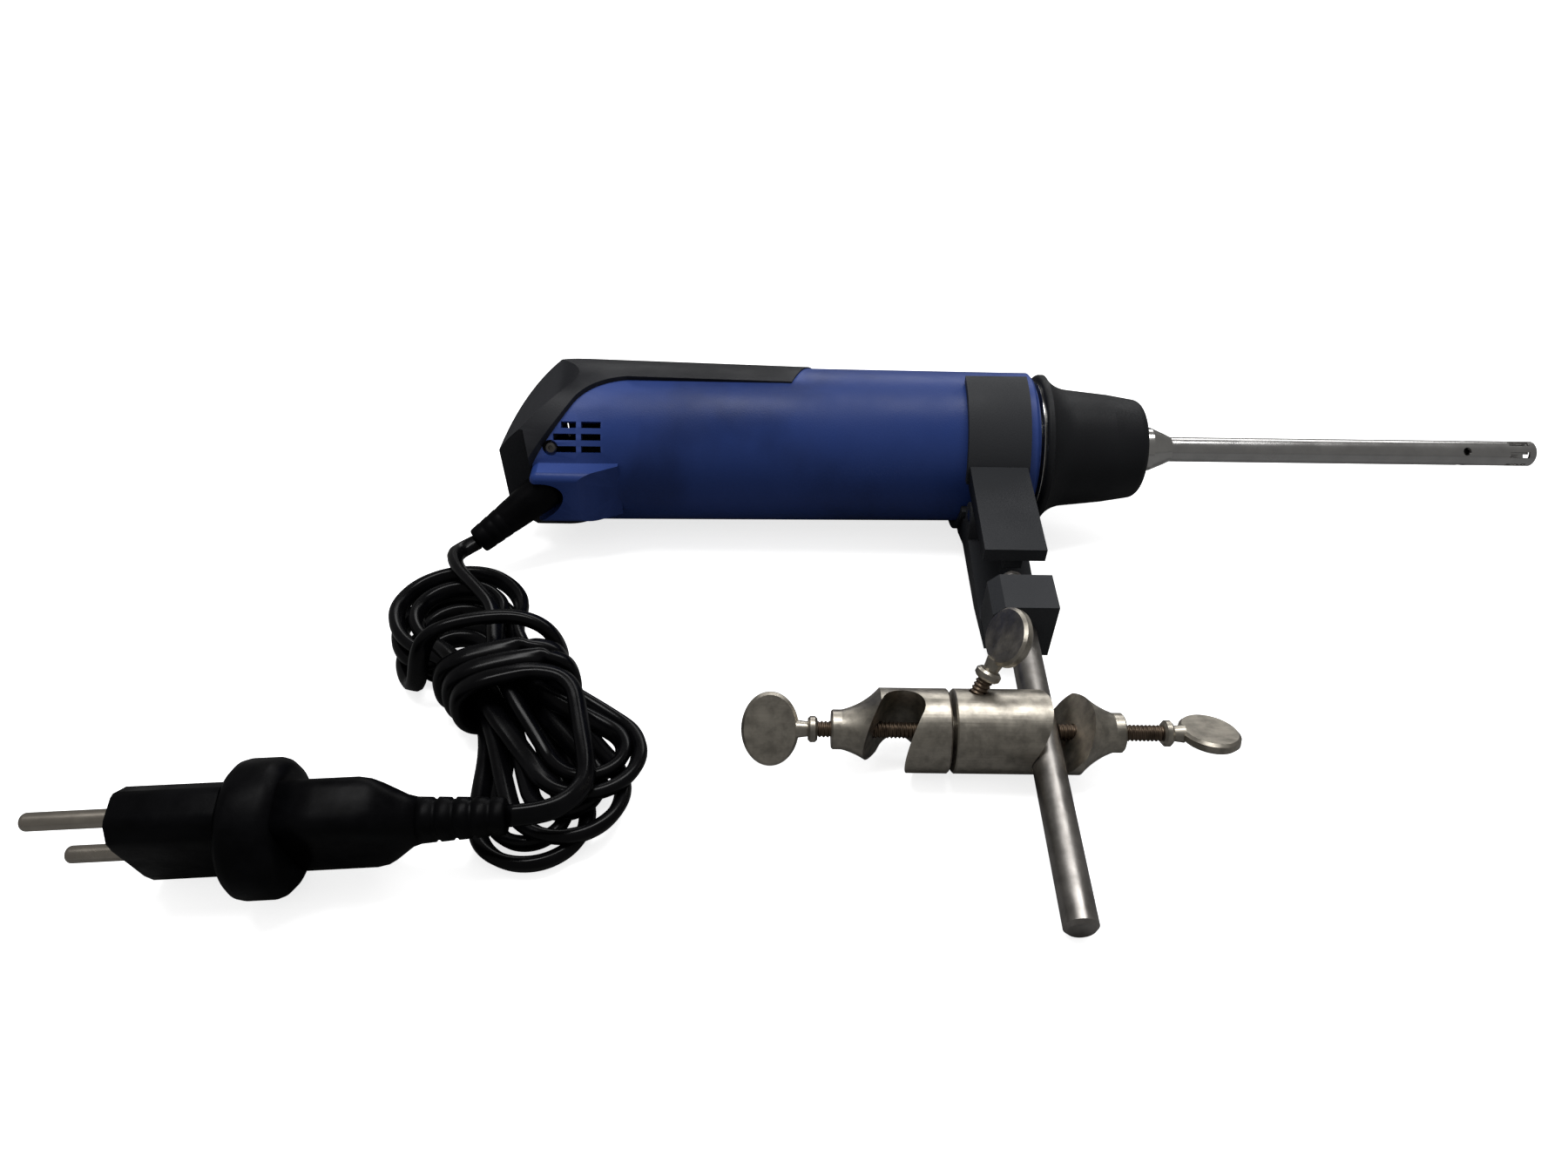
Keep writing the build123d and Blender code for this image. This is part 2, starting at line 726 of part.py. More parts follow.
def right_slot():
    """U slot across the right half for the extension rod: open upwards, leaning to the nose."""
    slot = Cylinder(slot_w / 2, 40, rotation=(90, 0, 0)) + Pos(0, 0, 20) * Box(slot_w, 40, 40)
    return Pos(right_slot_x, 0, 0) * Rot(Y=slot_lean) * slot


def left_slot():
    """U slot across the left half for a stand's rod: open to the back, leaning to the nose."""
    slot = Cylinder(slot_w / 2, 40) + Pos(0, -20, 0) * Box(slot_w, 40, 40)
    return Pos(left_slot_x, 0, 0) * Rot(Z=-slot_lean) * slot


def lock_point(distance):
    """Point on the lock screw's axis, measured outwards from the boss head's own axis."""
    lean, turn = math.radians(lock_lean), math.radians(lock_turn)
    root_x = lock_x - boss_d / 2 * math.tan(lean)
    across_axis = distance * math.cos(lean)
    return (root_x + distance * math.sin(lean), across_axis * math.cos(turn), across_axis * math.sin(turn))


def boss_right():
    """Half of the boss head that rides on the extension rod."""
    r = boss_d / 2
    half = turned(
        (seam_x, 0), (seam_x, r - 0.4), (seam_x + 0.4, r), (-44.6, r),
        ((-40.2, r - 3.6), (right_nose_x - 2.6, nose_d / 2)), (right_nose_x - 0.4, nose_d / 2),
        (right_nose_x, nose_d / 2 - 0.4), (right_nose_x, 0),
    )
    half -= right_slot()
    half -= ring(right_slot_x, right_nose_x + 1, screw_d / 2 + running)
    half -= ring(seam_x - 1, pivot_front_x + 0.4, pivot_d / 2 + running)
    half -= rod_between(lock_point(3.0), lock_point(14.0), screw_d / 2 + running)
    return boss_place * half


def boss_left():
    r = boss_d / 2
    back_x = seam_x - seam_gap
    half = turned(
        (back_x, 0), (back_x, r - 0.4), (back_x - 0.4, r), (-94.4, r),
        ((-98.8, r - 3.6), (left_nose_x + 2.6, nose_d / 2)), (left_nose_x + 0.4, nose_d / 2),
        (left_nose_x, nose_d / 2 - 0.4), (left_nose_x, 0),
    )
    half -= left_slot()
    half -= ring(left_nose_x - 1, left_slot_x, screw_d / 2 + running)
    return boss_place * (half - ring(pivot_back_x, back_x + 1, pivot_d / 2))


pivot_back_x = -82.4
pivot_front_x = -64.0


def boss_pivot():
    """Pin that joins the two halves; the lock screw presses on it."""
    return boss_place * ring(pivot_back_x, pivot_front_x, pivot_d / 2)


right_tip_x = holder_x + rod_d / 2 + slot_touch
right_collar_x = right_nose_x + 10.0
left_tip_x = left_slot_x + slot_w / 2 - 0.5
left_collar_x = left_nose_x - 3.4
lock_tip = (pivot_d / 2 + 0.3) / math.cos(math.radians(lock_lean))
lock_collar = 15.4
collar_gap = 0.1


def right_stud():
    return boss_place * ring(right_tip_x, right_collar_x - collar_gap, screw_d / 2)


def left_stud():
    return boss_place * ring(left_collar_x + collar_gap, left_tip_x, screw_d / 2)


def lock_stud():
    start, end = lock_point(lock_tip), lock_point(lock_collar - collar_gap)
    body = rod_between(lock_point(lock_tip + 1.5), end, screw_d / 2)
    tip = Cone(0.6, screw_d / 2, 1.5, align=(Align.CENTER, Align.CENTER, Align.MIN))
    return boss_place * (body + Plane(origin=start, z_dir=Vector(*end) - Vector(*start)) * tip)


def thumb():
    """Collar, neck and flat oval of a thumbscrew, along +X from the collar's face."""
    neck_end = screw_collar_t + 3.0
    head = ring(0, screw_collar_t, screw_collar_d / 2)
    head = chamfer(head.edges().filter_by(GeomType.CIRCLE), 0.6)
    head += turned((screw_collar_t, 0), (screw_collar_t, 1.9), (neck_end, 2.3), (neck_end, 0))
    oval = extrude(Ellipse(thumb_length / 2, thumb_width / 2), thumb_t / 2, both=True)
    oval = chamfer(oval.edges(), 0.7)
    return head + Pos(neck_end - 0.8 + thumb_length / 2, 0, 0) * oval


def right_thumb():
    place = Plane(origin=(right_collar_x, 0, 0), x_dir=(1, 0, 0), z_dir=(0, 0.45, 0.89))
    return boss_place * (place * thumb())


def left_thumb():
    place = Plane(origin=(left_collar_x, 0, 0), x_dir=(-1, 0, 0), z_dir=(0, -0.7, 0.7))
    return boss_place * (place * thumb())


def lock_thumb():
    out = Vector(*lock_point(1)) - Vector(*lock_point(0))
    side = Vector(1, 0, 0) - out * out.X
    place = Plane(origin=lock_point(lock_collar), x_dir=out, z_dir=side)
    return boss_place * (place * (Rot(X=lock_thumb_turn) * thumb()))


lock_thumb_turn = 15.0

# ---- cord and plug: they lie on the table ----
relief_start = Vector(-193.5, -25.6, 0.6)
relief_end = Vector(-213.0, -39.0, -9.0)
relief_way = (relief_end - relief_start).normalized()
relief_seat = tuple(relief_start - relief_way * 4.0)
relief_mouth = tuple(relief_start + relief_way * 8.0)
relief_r = 7.4


def strain_relief():
    """Rubber boot, seated in the cable boss and tapering to the cord."""
    length = (relief_end - relief_start).length
    boot = turned((-3.8, 0), (-3.8, relief_r), (-1.0, relief_r), (0, 5.9), (4, 5.7),
                  (length - 1.0, 4.1), (length, 3.4), (length, 0))
    for step in range(4):
        x = 8.0 + 4.2 * step
        boot -= ring(x, x + 1.4, 9, 4.75 - 0.25 * step)
    normal = relief_way.cross(Vector(0, 0, 1))
    return Plane(origin=relief_start, x_dir=relief_way, z_dir=normal) * boot


def laid(point):
    """Place on the table's frame of a point of the device."""
    angle = math.radians(lay_angle)
    x, y, z = point
    return (x, y * math.cos(angle) - z * math.sin(angle), y * math.sin(angle) + z * math.cos(angle) + ground_r)


cord_start = laid(tuple(relief_end))
tail_route = [
    cord_start, (-216.9, -39.8, 10.4), (-218.0, -46.2, 8.8), (-213.8, -55.2, 9.2),
    (-205.0, -66.0, 10.4), (-196.0, -76.0, 11.6),
]
plug_cord_end = (-180.0, -148.6, 15.6)
plug_tip = (-278.5, -156.7, 15.6)
plug_way = (Vector(*plug_tip) - Vector(*plug_cord_end)).normalized()
end_route = [plug_cord_end, (-172.0, -147.95, 15.6), (-166.0, -142.6, 15.0), (-163.8, -134.6, 14.0)]
plug_lean = -18.0
flange_r = 15.4
bend_share = 0.45
hank_height = 25.0
hank_outline = [
    (-231, -74), (-229, -58), (-218, -47), (-203, -50), (-188, -66), (-172, -90), (-158, -112),
    (-151, -128), (-153, -143), (-163, -155), (-180, -157), (-190, -146), (-195, -124), (-208, -108),
    (-224, -92),
]


def route_path(name, points):
    """Straight runs joined by tangent arcs, each as large as its two runs allow."""
    radii = []
    for before, here, after in zip(points, points[1:], points[2:]):
        first, second = Vector(*here) - Vector(*before), Vector(*after) - Vector(*here)
        half_turn = math.radians(first.get_angle(second)) / 2
        radii.append(bend_share * min(first.length, second.length) / math.tan(half_turn))
    print(name, "bend radii", [round(radius, 1) for radius in radii])
    return FilletPolyline(*points, radius=radii)


def cord_tube(name, points):
    path = route_path(name, points)
    tube = sweep(Plane(origin=points[0], z_dir=path % 0) * Circle(cord_d / 2), path=path)
    section = math.pi * (cord_d / 2) ** 2
    print(name, "length", round(path.length, 1), "volume ratio", round(tube.volume / section / path.length, 4))
    return tube


def hank_block():
    """Outer shape of the gathered cord."""
    edge = make_face(Spline(*[(x, y) for x, y in hank_outline], periodic=True))
    block = extrude(edge, hank_height)
    return fillet(block.edges().group_by(Axis.Z)[-1], 7.0)


def cord_tail():
    return cord_tube("cord_tail", tail_route)


def cord_end():
    return cord_tube("cord_end", end_route)


def cord_hank():
    return hank_block() - cord_tail() - cord_end() - plug_relief()


def on_plug(shape):
    """Place a piece that was built along the plug's axis, x = 0 where the cord enters."""
    normal = Vector(0, 0, 1)
    return Plane(origin=plug_cord_end, x_dir=plug_way, z_dir=normal) * (Rot(X=plug_lean) * shape)


relief_length = 19.0
plug_body_x = 21.0
flange_x = 46.0
adapter_x = 58.0
nose_x = 80.0


def plug_section(width, height, corner, x):
    return Plane(origin=(x, 0, 0), x_dir=(0, 1, 0), z_dir=(1, 0, 0)) * RectangleRounded(width, height, corner)


def plug_relief():
    """Ribbed neck of the plug."""
    neck = loft([plug_section(8.0, 8.6, 3.6, 0), plug_section(9.4, 12.0, 4.2, relief_length)])
    for step in range(5):
        x = 2.0 + 3.4 * step
        groove = plug_section(30, 30, 1, x) - plug_section(7.4 + 0.25 * step, 8.0 + 0.5 * step, 3.4, x)
        neck -= extrude(groove, 1.3)
    return on_plug(neck)


def plug_body():
    """Moulded plug between its neck and the adapter's flange."""
    throat = loft([plug_section(9.4, 12.0, 4.2, relief_length), plug_section(14.0, 26.0, 5.0, plug_body_x + 6)])
    return on_plug(throat + extrude(plug_section(14.0, 26.0, 5.0, plug_body_x + 6), flange_x - plug_body_x - 6))


def plug_adapter():
    """Adapter that the plug sits in: round flange and flat six-sided nose."""
    flange = ring(flange_x, adapter_x, flange_r)
    flange = chamfer(flange.edges().filter_by(GeomType.CIRCLE), 2.0)
    edge = outline((-3.5, -14.0), (3.5, -14.0), (7.0, -10.0), (7.0, 10.0), (3.5, 14.0), (-3.5, 14.0),
                   (-7.0, 10.0), (-7.0, -10.0))
    nose = Plane(origin=(adapter_x - 1, 0, 0), x_dir=(0, 1, 0), z_dir=(1, 0, 0)) * edge
    body = extrude(nose, nose_x - adapter_x + 1)
    return on_plug(flange + body)


def plug_pins():
    pins = []
    for side in (1, -1):
        pin = ring(nose_x, nose_x + pin_length, pin_d / 2)
        pin = fillet(pin.edges().filter_by(GeomType.CIRCLE).group_by(Axis.X)[-1], 1.2)
        pins.append(Pos(0, 0, side * pin_pitch / 2) * pin)
    return on_plug(Part() + pins)


# ---- all pieces ----
device_pieces = [
    housing_shell, rear_cover, housing_screws, bearing_flange, front_bearing, rear_bearing,
    motor_stator, field_coils, brush_bridge, brush_holders, carbon_brushes, control_board,
    speed_potentiometer, capacitor, speed_wheel, switch_body, power_switch, strain_relief,
    motor_shaft, armature_core, armature_windings, commutator, cooling_fan, drive_coupling,
    shaft_tube, tool_collar, tool_bushings, rotor_shaft, rotor_tang, rotor_head,
    collet, nut_insert, clamp_nut,
    holder_base, holder_lever, holder_pin, rod_stud, extension_rod,
    boss_right, boss_left, boss_pivot,
    right_stud, left_stud, lock_stud, right_thumb, left_thumb, lock_thumb,
]
table_pieces = [cord_tail, cord_hank, cord_end, plug_relief, plug_body, plug_adapter, plug_pins]

os.makedirs("parts", exist_ok=True)
for piece in device_pieces:
    export_step(lay_down * piece(), f"parts/{piece.__name__}.step")
for piece in table_pieces:
    export_step(table * piece(), f"parts/{piece.__name__}.step")
print("lay-down angle", round(lay_angle, 4), "middle", round(mid_x, 3), round(mid_y, 3))
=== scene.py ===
"""Dresses the rotor stator homogenizer: materials, gathered cord, threads, light and camera."""
import math

import bpy
from mathutils import Matrix, Vector


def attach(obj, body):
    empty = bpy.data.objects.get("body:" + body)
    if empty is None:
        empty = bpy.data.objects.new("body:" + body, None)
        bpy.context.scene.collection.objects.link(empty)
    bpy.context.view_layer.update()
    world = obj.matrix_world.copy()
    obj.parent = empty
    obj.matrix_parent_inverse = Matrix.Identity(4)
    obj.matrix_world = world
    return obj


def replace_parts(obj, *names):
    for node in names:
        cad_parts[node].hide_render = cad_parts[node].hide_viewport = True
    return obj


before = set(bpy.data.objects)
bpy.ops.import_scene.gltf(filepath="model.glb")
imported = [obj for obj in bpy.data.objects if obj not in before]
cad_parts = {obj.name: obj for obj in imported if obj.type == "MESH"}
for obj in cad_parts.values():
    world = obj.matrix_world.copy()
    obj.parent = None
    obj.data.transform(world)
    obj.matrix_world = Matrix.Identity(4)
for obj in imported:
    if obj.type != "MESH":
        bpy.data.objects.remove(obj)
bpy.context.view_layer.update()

# ---- the frame: millimetres on the table, x = 0 at the nut's front, y = 0 under the tool's axis ----
MM = 0.001
GROUND_R = 26.8     # height of the tool's axis over the table
ROD_R = 4.0
ROD_REACH = 170.0   # from the tool's axis to the rod's far end
TOOL_TIP_X = 125.4
TAIL_X = -207.0
LAY = math.asin((GROUND_R - ROD_R) / ROD_REACH)
MID_X = (TOOL_TIP_X + TAIL_X) / 2
MID_Y = (GROUND_R - ROD_REACH * math.cos(LAY)) / 2


def table(x, y, z):
    """Row position, in metres, of a point given on the table in millimetres."""
    return Vector(((x - MID_X) * MM, (y - MID_Y) * MM, z * MM))


def device(x, y, z):
    """Row position of a point given about the tool's axis, before the device is laid down."""
    c, s = math.cos(LAY), math.sin(LAY)
    return table(x, y * c - z * s, y * s + z * c + GROUND_R)


# ---- camera ----
CAMERA_AT = table(-118.6, -307.3, 201.1)
CAMERA_PITCH = math.radians(37.22)
CAMERA_ROLL = math.radians(0.72)
CAMERA_LENS = 24.5
CAMERA_SENSOR = 36.0
CAMERA_NEAR = 0.01

camera_data = bpy.data.cameras.new("camera")
camera_data.lens = CAMERA_LENS
camera_data.sensor_width = CAMERA_SENSOR
camera_data.clip_start = CAMERA_NEAR
camera = bpy.data.objects.new("camera", camera_data)
bpy.context.scene.collection.objects.link(camera)
turn = Matrix.Rotation(math.pi / 2 - CAMERA_PITCH, 4, "X") @ Matrix.Rotation(CAMERA_ROLL, 4, "Z")
camera.matrix_world = Matrix.Translation(CAMERA_AT) @ turn
bpy.context.scene.camera = camera
bpy.context.scene.view_settings.view_transform = "Standard"


# ---- materials ----
class Nodes:
    """Small helper round one material's node tree."""

    def __init__(self, name):
        self.material = bpy.data.materials.new(name)
        self.material.use_nodes = True
        self.tree = self.material.node_tree
        self.shader = self.tree.nodes["Principled BSDF"]
        self.place = self.tree.nodes.new("ShaderNodeTexCoord").outputs["Object"]

    def add(self, kind, **values):
        node = self.tree.nodes.new(kind)
        for key, value in values.items():
            if hasattr(node, key):
                setattr(node, key, value)
            else:
                node.inputs[key.replace("_", " ")].default_value = value
        return node

    def link(self, output, target):
        self.tree.links.new(output, target)

    def stretched(self, scale):
        mapping = self.add("ShaderNodeMapping")
        mapping.inputs["Scale"].default_value = scale
        self.link(self.place, mapping.inputs["Vector"])
        return mapping.outputs["Vector"]

    def noise(self, scale, detail=3.0, rough=0.5, stretch=None):
        node = self.add("ShaderNodeTexNoise", Scale=scale, Detail=detail, Roughness=rough)
        self.link(self.stretched(stretch) if stretch else self.place, node.inputs["Vector"])
        return node.outputs["Fac"]

    def ramp(self, factor, stops):
        node = self.add("ShaderNodeValToRGB")
        elements = node.color_ramp.elements
        while len(elements) < len(stops):
            elements.new(0.5)
        for element, (position, colour) in zip(elements, stops):
            element.position = position
            element.color = (*colour, 1.0)
        self.link(factor, node.inputs["Fac"])
        return node.outputs["Color"]

    def mix(self, factor, first, second):
        node = self.add("ShaderNodeMix", data_type="RGBA")
        sockets = [node.inputs[0], node.inputs[6], node.inputs[7]]
        for socket, value in zip(sockets, (factor, first, second)):
            if isinstance(value, bpy.types.NodeSocket):
                self.link(value, socket)
            elif isinstance(value, (int, float)):
                socket.default_value = value
            else:
                socket.default_value = (*value, 1.0)
        return node.outputs[2]

    def spread(self, factor, low, high):
        node = self.add("ShaderNodeMapRange")
        node.inputs["From Min"].default_value = 0.3
        node.inputs["From Max"].default_value = 0.7
        node.inputs["To Min"].default_value = low
        node.inputs["To Max"].default_value = high
        self.link(factor, node.inputs["Value"])
        return node.outputs["Result"]

    def bump(self, height, distance, strength=1.0):
        node = self.add("ShaderNodeBump")
        node.inputs["Distance"].default_value = distance
        node.inputs["Strength"].default_value = strength
        self.link(height, node.inputs["Height"])
        self.link(node.outputs["Normal"], self.shader.inputs["Normal"])

    def edges(self):
        """Mask of the worn outer edges."""
        pointed = self.add("ShaderNodeNewGeometry").outputs["Pointiness"]
        node = self.add("ShaderNodeMapRange")
        node.inputs["From Min"].default_value = 0.52
        node.inputs["From Max"].default_value = 0.62
        self.link(pointed, node.inputs["Value"])
        return node.outputs["Result"]


SMUDGE_SCALE = 26.0
SMUDGE_STRETCH = (0.8, 1.0, 0.45)
SPARK_SCALE = 2600.0
SCRATCH_SCALE = 1800.0
SCRATCH_STRETCH = 0.04
DUST_SCALE = 90.0


def moulded(name, colour, rough, smudge=0.25, grain=0.00004, shine=0.20):
    """Satin moulded plastic with a fine spark grain, finger smudges and pale worn edges."""
    n = Nodes(name)
    dark = tuple(value * (1 - smudge) for value in colour)
    light = tuple(min(1.0, value * 1.12 + 0.0015) for value in colour)
    smudges = n.ramp(n.noise(SMUDGE_SCALE, 4.0, 0.55, SMUDGE_STRETCH),
                     [(0.36, dark), (0.5, colour), (0.68, light)])
    worn = n.mix(n.edges(), smudges, tuple(min(1.0, value * 1.5 + 0.02) for value in colour))
    n.link(worn, n.shader.inputs["Base Color"])
    n.link(n.spread(n.noise(60.0, 3.0), rough - 0.07, rough + 0.09), n.shader.inputs["Roughness"])
    n.shader.inputs["Specular IOR Level"].default_value = shine
    n.bump(n.noise(SPARK_SCALE, 2.0), grain)
    return n.material


def steel(name, colour, rough, scratch_axis, wear=0.12, scratch=0.00001, mottle=180.0):
    """Turned or drawn metal: fine scratches along one axis, stains and a roughness that wanders."""
    n = Nodes(name)
    stretch = tuple(SCRATCH_STRETCH if axis == scratch_axis else 1.0 for axis in range(3))
    dull = tuple(value * (1 - wear) for value in colour)
    stains = n.ramp(n.noise(mottle, 5.0, 0.6), [(0.35, dull), (0.6, colour)])
    lines = n.noise(SCRATCH_SCALE, 4.0, 0.6, stretch)
    n.link(n.mix(n.spread(lines, 0.0, 0.35), stains, dull), n.shader.inputs["Base Color"])
    n.shader.inputs["Metallic"].default_value = 1.0
    n.link(n.spread(n.noise(mottle * 0.6, 3.0), rough * 0.8, rough * 1.3), n.shader.inputs["Roughness"])
    n.bump(lines, scratch)
    return n.material


def glossy_black(name, colour, rough, shine=0.3, grain=0.00003):
    """Glossy vinyl or moulded black plastic with a dusty, slightly uneven skin."""
    n = Nodes(name)
    dust = tuple(value * 1.8 + 0.0015 for value in colour)
    dusty = n.ramp(n.noise(DUST_SCALE, 5.0, 0.65), [(0.42, colour), (0.75, dust)])
    n.link(dusty, n.shader.inputs["Base Color"])
    n.link(n.spread(n.noise(140.0, 3.0), rough * 0.75, rough * 1.35), n.shader.inputs["Roughness"])
    n.shader.inputs["Specular IOR Level"].default_value = shine
    n.bump(n.noise(500.0, 3.0), grain)
    return n.material


BLUE = (0.0165, 0.0400, 0.1720)
CHARCOAL = (0.0085, 0.0090, 0.0105)
BLACK = (0.0012, 0.0012, 0.0016)
COVER_GREY = (0.0058, 0.0064, 0.0088)
HOLDER_GREY = (0.0068, 0.0078, 0.0100)
MATERIALS = {
    "blue": moulded("blue_plastic", BLUE, 0.42, smudge=0.30),
    "charcoal": moulded("charcoal_plastic", CHARCOAL, 0.50, smudge=0.18, shine=0.17),
    "cover_grey": moulded("cover_plastic", COVER_GREY, 0.48, smudge=0.15, shine=0.13),
    "holder_grey": moulded("holder_plastic", HOLDER_GREY, 0.54, smudge=0.15, grain=0.00006,
                           shine=0.13),
    "black_plug": glossy_black("black_plug", BLACK, 0.38, shine=0.06),
    "black_vinyl": glossy_black("black_vinyl", BLACK, 0.22, shine=0.15, grain=0.000012),
    "black_inside": moulded("inside_plastic", (0.012, 0.012, 0.013), 0.6),
    "tool_steel": steel("tool_steel", (0.60, 0.59, 0.58), 0.22, 0),
    "bright_steel": steel("bright_steel", (0.66, 0.65, 0.63), 0.18, 0),
    "rod_steel": steel("rod_steel", (0.37, 0.35, 0.33), 0.34, 1, wear=0.3, mottle=260.0),
    "worn_nickel": steel("worn_nickel", (0.54, 0.50, 0.43), 0.38, 0, wear=0.40, scratch=0.00003,
                         mottle=320.0),
    "dark_thread": steel("dark_thread", (0.20, 0.15, 0.11), 0.42, 1, wear=0.5, mottle=420.0),
    "screw_zinc": steel("screw_zinc", (0.22, 0.21, 0.20), 0.38, 0, wear=0.3),
    "pin_nickel": steel("pin_nickel", (0.58, 0.53, 0.46), 0.25, 0, wear=0.2),
    "core_steel": steel("core_steel", (0.22, 0.22, 0.23), 0.45, 0, wear=0.3),
    "aluminium": steel("cast_aluminium", (0.55, 0.55, 0.56), 0.4, 2),
    "copper": steel("copper_wire", (0.60, 0.25, 0.10), 0.3, 1),
    "carbon": moulded("carbon", (0.02, 0.02, 0.02), 0.7),
    "board": moulded("board_laminate", (0.02, 0.12, 0.05), 0.4),
    "pale": moulded("pale_plastic", (0.62, 0.62, 0.58), 0.45),
}
FINISH = {
    "blue": ["housing_shell"],
    "charcoal": ["clamp_nut", "speed_wheel"],
    "cover_grey": ["rear_cover"],
    "holder_grey": ["holder_base", "holder_lever"],
    "black_plug": ["plug_relief", "plug_body", "plug_adapter", "power_switch"],
    "black_vinyl": ["strain_relief", "cord_tail", "cord_hank", "cord_end"],
    "black_inside": ["speed_potentiometer", "brush_bridge", "switch_body", "capacitor",
                     "cooling_fan"],
    "tool_steel": ["shaft_tube", "rotor_shaft", "rotor_head", "rotor_tang"],
    "bright_steel": ["tool_collar", "collet", "nut_insert", "holder_pin", "motor_shaft",
                     "drive_coupling", "front_bearing", "rear_bearing"],
    "rod_steel": ["extension_rod", "rod_stud"],
    "worn_nickel": ["boss_right", "boss_left", "boss_pivot",
                    "right_thumb", "left_thumb", "lock_thumb"],
    "dark_thread": ["right_stud", "left_stud", "lock_stud", "housing_screws"],
    "pin_nickel": ["plug_pins", "brush_holders"],
    "core_steel": ["motor_stator", "armature_core"],
    "aluminium": ["bearing_flange"],
    "copper": ["field_coils", "armature_windings", "commutator"],
    "carbon": ["carbon_brushes"],
    "board": ["control_board"],
    "pale": ["tool_bushings"],
}


def dress(obj, material):
    """Gives a CAD object its material in every slot."""
    slots = obj.material_slots
    if not slots:
        obj.data.materials.append(MATERIALS[material])
    for slot in slots:
        slot.material = MATERIALS[material]


for finish, nodes in FINISH.items():
    for node in nodes:
        dress(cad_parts[node], finish)


def new_piece(name, verts, faces, material, body, slot):
    """A visible piece from its vertices and faces, riding on a body."""
    mesh = bpy.data.meshes.new(name)
    mesh.from_pydata([tuple(v) for v in verts], [], faces)
    mesh.update()
    mesh.shade_smooth()
    obj = bpy.data.objects.new(name, mesh)
    bpy.context.scene.collection.objects.link(obj)
    mesh.materials.append(MATERIALS[material])
    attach(obj, body)
    return obj


# ---- the cord: one line from the boot, through the hank, to the plug ----
CORD_W = 5.2
CORD_T = 3.5
RELIEF_START = (-193.5, -25.6, 0.6)
RELIEF_END = (-213.0, -39.0, -9.0)
TAIL = [(-216.9, -39.8, 11.6), (-218.3, -46.2, 13.4), (-214.2, -55.2, 14.8),
        (-205.8, -66.0, 16.2), (-198.0, -77.0, 17.4)]
PLUG_END = [(-163.8, -134.6, 14.2), (-166.0, -142.6, 15.0), (-172.0, -147.95, 15.6),
            (-180.0, -148.6, 15.6)]
HANK_A = Vector((-211.0, -75.0))
HANK_B = Vector((-165.0, -139.0))
WAIST = Vector((-193.0, -97.0))
# place and layer at the waist; then for each end: reach, half width, sideways shift and height
LOOPS = [
    (2.9, 13.8, (45.5, 12.0, -1.0, 9.8), (45.5, 8.6, -7.0, 9.8)),
    (8.2, 13.8, (53.0, 17.5, -1.5, 9.8), (51.0, 12.8, -6.0, 9.8)),
    (8.2, 9.9, (47.0, 16.0, 1.5, 6.2), (57.0, 13.6, 2.5, 6.2)),
    (2.9, 9.9, (39.5, 10.6, 1.0, 6.2), (49.5, 8.4, 2.0, 6.2)),
    (2.9, 6.0, (32.5, 9.0, 4.5, 2.7), (50.0, 8.6, 12.0, 2.7)),
    (8.2, 6.0, (38.5, 14.2, 5.0, 2.7), (56.5, 13.4, 12.0, 2.7)),
]
NECK = 12.0         # where the strands leave the waist, to either side of it
CAP_STEP = 36       # degrees between the points of a cap
CAP_LEG = 1.6       # how far before the tip the cap's straight legs end, in half widths
CAP_LEG_SHIFT = 0.88
CAP_LEG_HALF = 0.93
ENTRY_Z = 17.6      # height at which the cord comes to the first loop
HANK_IN = (-5.0, -1.0, 17.8)
WRAP_IN = (-15.0, 19.0, 4.6)
WRAP_OUT = [(22.0, -11.0, 20.4), (33.0, -7.0, 17.2)]
WRAP_TURNS = 3.3
WRAP_POINTS = 14
WRAP_START = -5.0
WRAP_PITCH = 5.4
WRAP_SLANT = 0.30
WRAP_HALF = 15.2
WRAP_MIDDLE_Z = 11.9
WRAP_HALF_Z = 9.7
WRAP_SQUARE = 0.72  # below 1 makes the turns boxier
LOOSE_TURNS = 1.15  # the first turn is loose over this many turns
LOOSE_WIDE = 2.6
LOOSE_RISE = 4.2
LOOSE_BACK = 7.0

along = (HANK_B - HANK_A).normalized()
aside = Vector((along.y, -along.x))


def hank_point(axial, lateral, z):
    """Table point given along the hank, across it, and above the table."""
    spot = WAIST + along * axial + aside * lateral
    return (spot.x, spot.y, z)


def squared(value, power):
    """Power that keeps the sign."""
    return math.copysign(abs(value) ** power, value)


def cap_points(end, way):
    """Half turn round one end of the hank, towards the far end (way 1) or the near one (way -1)."""
    reach, half, shift, z_end = end
    leg = way * (reach - CAP_LEG * half)
    points = [hank_point(leg, CAP_LEG_SHIFT * shift + way * CAP_LEG_HALF * half, z_end)]
    for step in range(-90, 91, CAP_STEP):
        angle = math.radians(-way * step)
        axial = way * (reach - half + half * math.cos(angle))
        points.append(hank_point(axial, shift + half * math.sin(angle), z_end))
    return points + [hank_point(leg, CAP_LEG_SHIFT * shift - way * CAP_LEG_HALF * half, z_end)]


def loop_points(loop, entry_z, next_place, next_layer):
    """One long turn of the hank: to the far end, back on the other side, round the near end."""
    place, layer, end_a, end_b = loop
    points = [hank_point(NECK, place, entry_z)] + cap_points(end_b, 1)
    points += [hank_point(NECK, -place, layer), hank_point(-NECK, -place, layer)]
    points += cap_points(end_a, -1)
    return points + [hank_point(-NECK, next_place, next_layer)]


